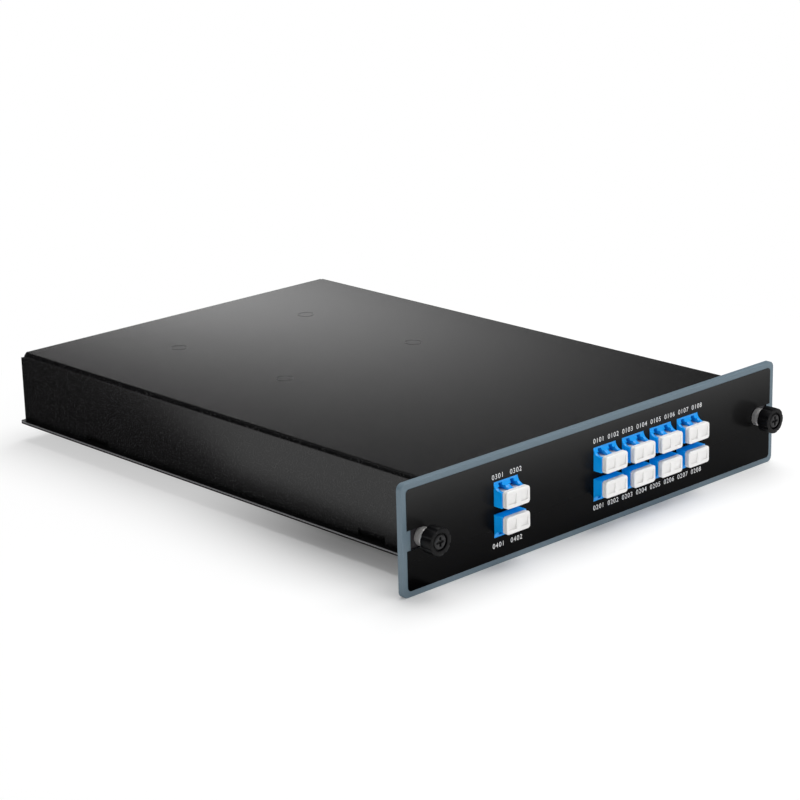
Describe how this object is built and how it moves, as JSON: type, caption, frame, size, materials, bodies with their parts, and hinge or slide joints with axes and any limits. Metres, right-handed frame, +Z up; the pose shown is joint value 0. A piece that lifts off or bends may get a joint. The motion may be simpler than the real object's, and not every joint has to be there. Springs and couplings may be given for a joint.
{
  "type": "coarse wavelength division multiplexer",
  "caption": "Half-width rack plug-in module: black folded box, front panel with duplex fibre adapters under white dust caps, and a captive thumbscrew at each end.",
  "frame": {"origin": "under the middle of the whole module, on the level of the panel's lower edge", "axes": "+X to the right seen from the front, +Y into the box away from the panel, +Z up"},
  "size_m": [0.215, 0.2722, 0.044],
  "materials": {
    "panel_paint": "satin",
    "film": "gloss",
    "powder_coat": "fine textured powder coat",
    "adapter_blue": "satin",
    "cap_white": "matte",
    "nickel": "turned",
    "knob_black": "satin",
    "screw_steel": "dark plated",
    "spring_steel": "plain",
    "zinc": "zinc plated",
    "black_zinc": "black zinc",
    "ceramic": "polished ceramic",
    "tray_plastic": "matte",
    "bright_steel": "polished tube",
    "plug_blue": "satin",
    "lead_yellow": "satin",
    "tie_plastic": "matte"
  },
  "bodies": {
    "module": {"adapter_clamp_left": "zinc", "adapter_clamp_right": "zinc", "adapter_left_lower": "adapter_blue", "adapter_left_upper": "adapter_blue", "adapter_right1_lower": "adapter_blue", "adapter_right1_upper": "adapter_blue", "adapter_right2_lower": "adapter_blue", "adapter_right2_upper": "adapter_blue", "adapter_right3_lower": "adapter_blue", "adapter_right3_upper": "adapter_blue", "adapter_right4_lower": "adapter_blue", "adapter_right4_upper": "adapter_blue", "alignment_sleeves": "ceramic", "base_plate": "powder_coat", "base_screws": "black_zinc", "channel_filters": "bright_steel", "clamp_screws": "zinc", "clamp_spacers": "zinc", "cover": "powder_coat", "fibre_leads": "lead_yellow", "fibre_spools": "tray_plastic", "filter_tray": "tray_plastic", "front_panel": "panel_paint", "lead_anchor": "tray_plastic", "lead_tie": "tie_plastic", "left_ferrule": "nickel", "left_spring": "spring_steel", "panel_film": "film", "panel_nuts": "zinc", "panel_screws": "zinc", "pigtail_plugs": "plug_blue", "right_ferrule": "nickel", "right_spring": "spring_steel", "tap_coupler": "bright_steel", "tray_screws": "zinc", "tray_standoffs": "black_zinc"},
    "left_retainer": {"left_retaining_ring": "spring_steel"},
    "left_thumbscrew": {"left_knob": "knob_black", "left_screw": "screw_steel"},
    "right_retainer": {"right_retaining_ring": "spring_steel"},
    "right_thumbscrew": {"right_knob": "knob_black", "right_screw": "screw_steel"},
    "cap_left_lower": {"cap_left_lower": "cap_white"},
    "cap_left_upper": {"cap_left_upper": "cap_white"},
    "cap_right1_lower": {"cap_right1_lower": "cap_white"},
    "cap_right1_upper": {"cap_right1_upper": "cap_white"},
    "cap_right2_lower": {"cap_right2_lower": "cap_white"},
    "cap_right2_upper": {"cap_right2_upper": "cap_white"},
    "cap_right3_lower": {"cap_right3_lower": "cap_white"},
    "cap_right3_upper": {"cap_right3_upper": "cap_white"},
    "cap_right4_lower": {"cap_right4_lower": "cap_white"},
    "cap_right4_upper": {"cap_right4_upper": "cap_white"}
  },
  "joints": [
    {"name": "left_press", "type": "slide", "parent": "module", "child": "left_retainer", "axis": [0, 1, 0], "range_m": [0, 0.0027], "stiffness_N_per_m": 1500, "springref_m": -0.002, "deforming": ["left_spring"]},
    {"name": "left_turn", "type": "hinge", "parent": "left_retainer", "child": "left_thumbscrew", "pos_m": [-0.0972, -0.1267, 0.022], "axis": [0, 1, 0], "continuous": true},
    {"name": "right_press", "type": "slide", "parent": "module", "child": "right_retainer", "axis": [0, 1, 0], "range_m": [0, 0.0027], "stiffness_N_per_m": 1500, "springref_m": -0.002, "deforming": ["right_spring"]},
    {"name": "right_turn", "type": "hinge", "parent": "right_retainer", "child": "right_thumbscrew", "pos_m": [0.0972, -0.1267, 0.022], "axis": [0, 1, 0], "continuous": true},
    {"name": "cap_left_lower_pull", "type": "slide", "parent": "module", "child": "cap_left_lower", "axis": [0, -1, 0], "range_m": [0, 0.012]},
    {"name": "cap_left_upper_pull", "type": "slide", "parent": "module", "child": "cap_left_upper", "axis": [0, -1, 0], "range_m": [0, 0.012]},
    {"name": "cap_right1_lower_pull", "type": "slide", "parent": "module", "child": "cap_right1_lower", "axis": [0, -1, 0], "range_m": [0, 0.012]},
    {"name": "cap_right1_upper_pull", "type": "slide", "parent": "module", "child": "cap_right1_upper", "axis": [0, -1, 0], "range_m": [0, 0.012]},
    {"name": "cap_right2_lower_pull", "type": "slide", "parent": "module", "child": "cap_right2_lower", "axis": [0, -1, 0], "range_m": [0, 0.012]},
    {"name": "cap_right2_upper_pull", "type": "slide", "parent": "module", "child": "cap_right2_upper", "axis": [0, -1, 0], "range_m": [0, 0.012]},
    {"name": "cap_right3_lower_pull", "type": "slide", "parent": "module", "child": "cap_right3_lower", "axis": [0, -1, 0], "range_m": [0, 0.012]},
    {"name": "cap_right3_upper_pull", "type": "slide", "parent": "module", "child": "cap_right3_upper", "axis": [0, -1, 0], "range_m": [0, 0.012]},
    {"name": "cap_right4_lower_pull", "type": "slide", "parent": "module", "child": "cap_right4_lower", "axis": [0, -1, 0], "range_m": [0, 0.012]},
    {"name": "cap_right4_upper_pull", "type": "slide", "parent": "module", "child": "cap_right4_upper", "axis": [0, -1, 0], "range_m": [0, 0.012]}
  ]
}
